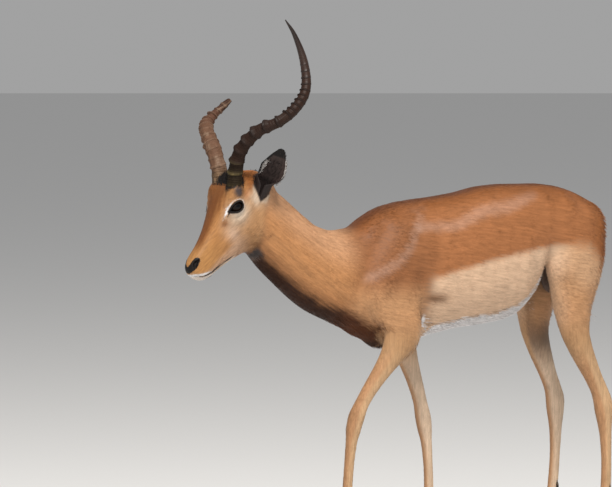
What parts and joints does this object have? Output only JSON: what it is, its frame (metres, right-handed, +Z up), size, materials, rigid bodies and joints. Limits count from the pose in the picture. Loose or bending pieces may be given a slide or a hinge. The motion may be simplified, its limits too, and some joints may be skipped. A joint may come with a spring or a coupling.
{
  "type": "impala antelope",
  "caption": "Standing impala ram in mid step, with its head turned a little to its left, one long lyre horn and one horn broken short.",
  "frame": {"origin": "on the ground, below the middle of the whole animal's box", "axes": "+Z up, the head end faces -X, the animal's left side is -Y"},
  "size_m": [1.2296, 0.3158, 1.3166],
  "materials": {
    "back_coat": "short glossy russet coat",
    "neck_coat": "short tan coat, darker under the neck",
    "head_coat": "very short orange-brown coat with white and dark markings",
    "leg_coat": "very short pale fawn coat",
    "tail_coat": "longer white hair with a black line",
    "ear": "thin, short grey and white hair, black tip",
    "eye": "wet black",
    "horn": "ridged dark brown horn, smooth at the tip",
    "hoof": "satin black horn"
  },
  "bodies": {
    "root": {"trunk": "back_coat", "neck": "neck_coat", "head": "head_coat", "tail": "tail_coat", "horn_left": "horn", "horn_right": "horn", "ear_left": "ear", "ear_right": "ear", "eye_left": "eye", "eye_right": "eye", "foreleg_left": "leg_coat", "foreleg_right": "leg_coat", "hindleg_left": "leg_coat", "hindleg_right": "leg_coat", "claw_fore_left_inner": "hoof", "claw_fore_left_outer": "hoof", "claw_fore_right_inner": "hoof", "claw_fore_right_outer": "hoof", "claw_hind_left_inner": "hoof", "claw_hind_left_outer": "hoof", "claw_hind_right_inner": "hoof", "claw_hind_right_outer": "hoof"}
  },
  "joints": []
}
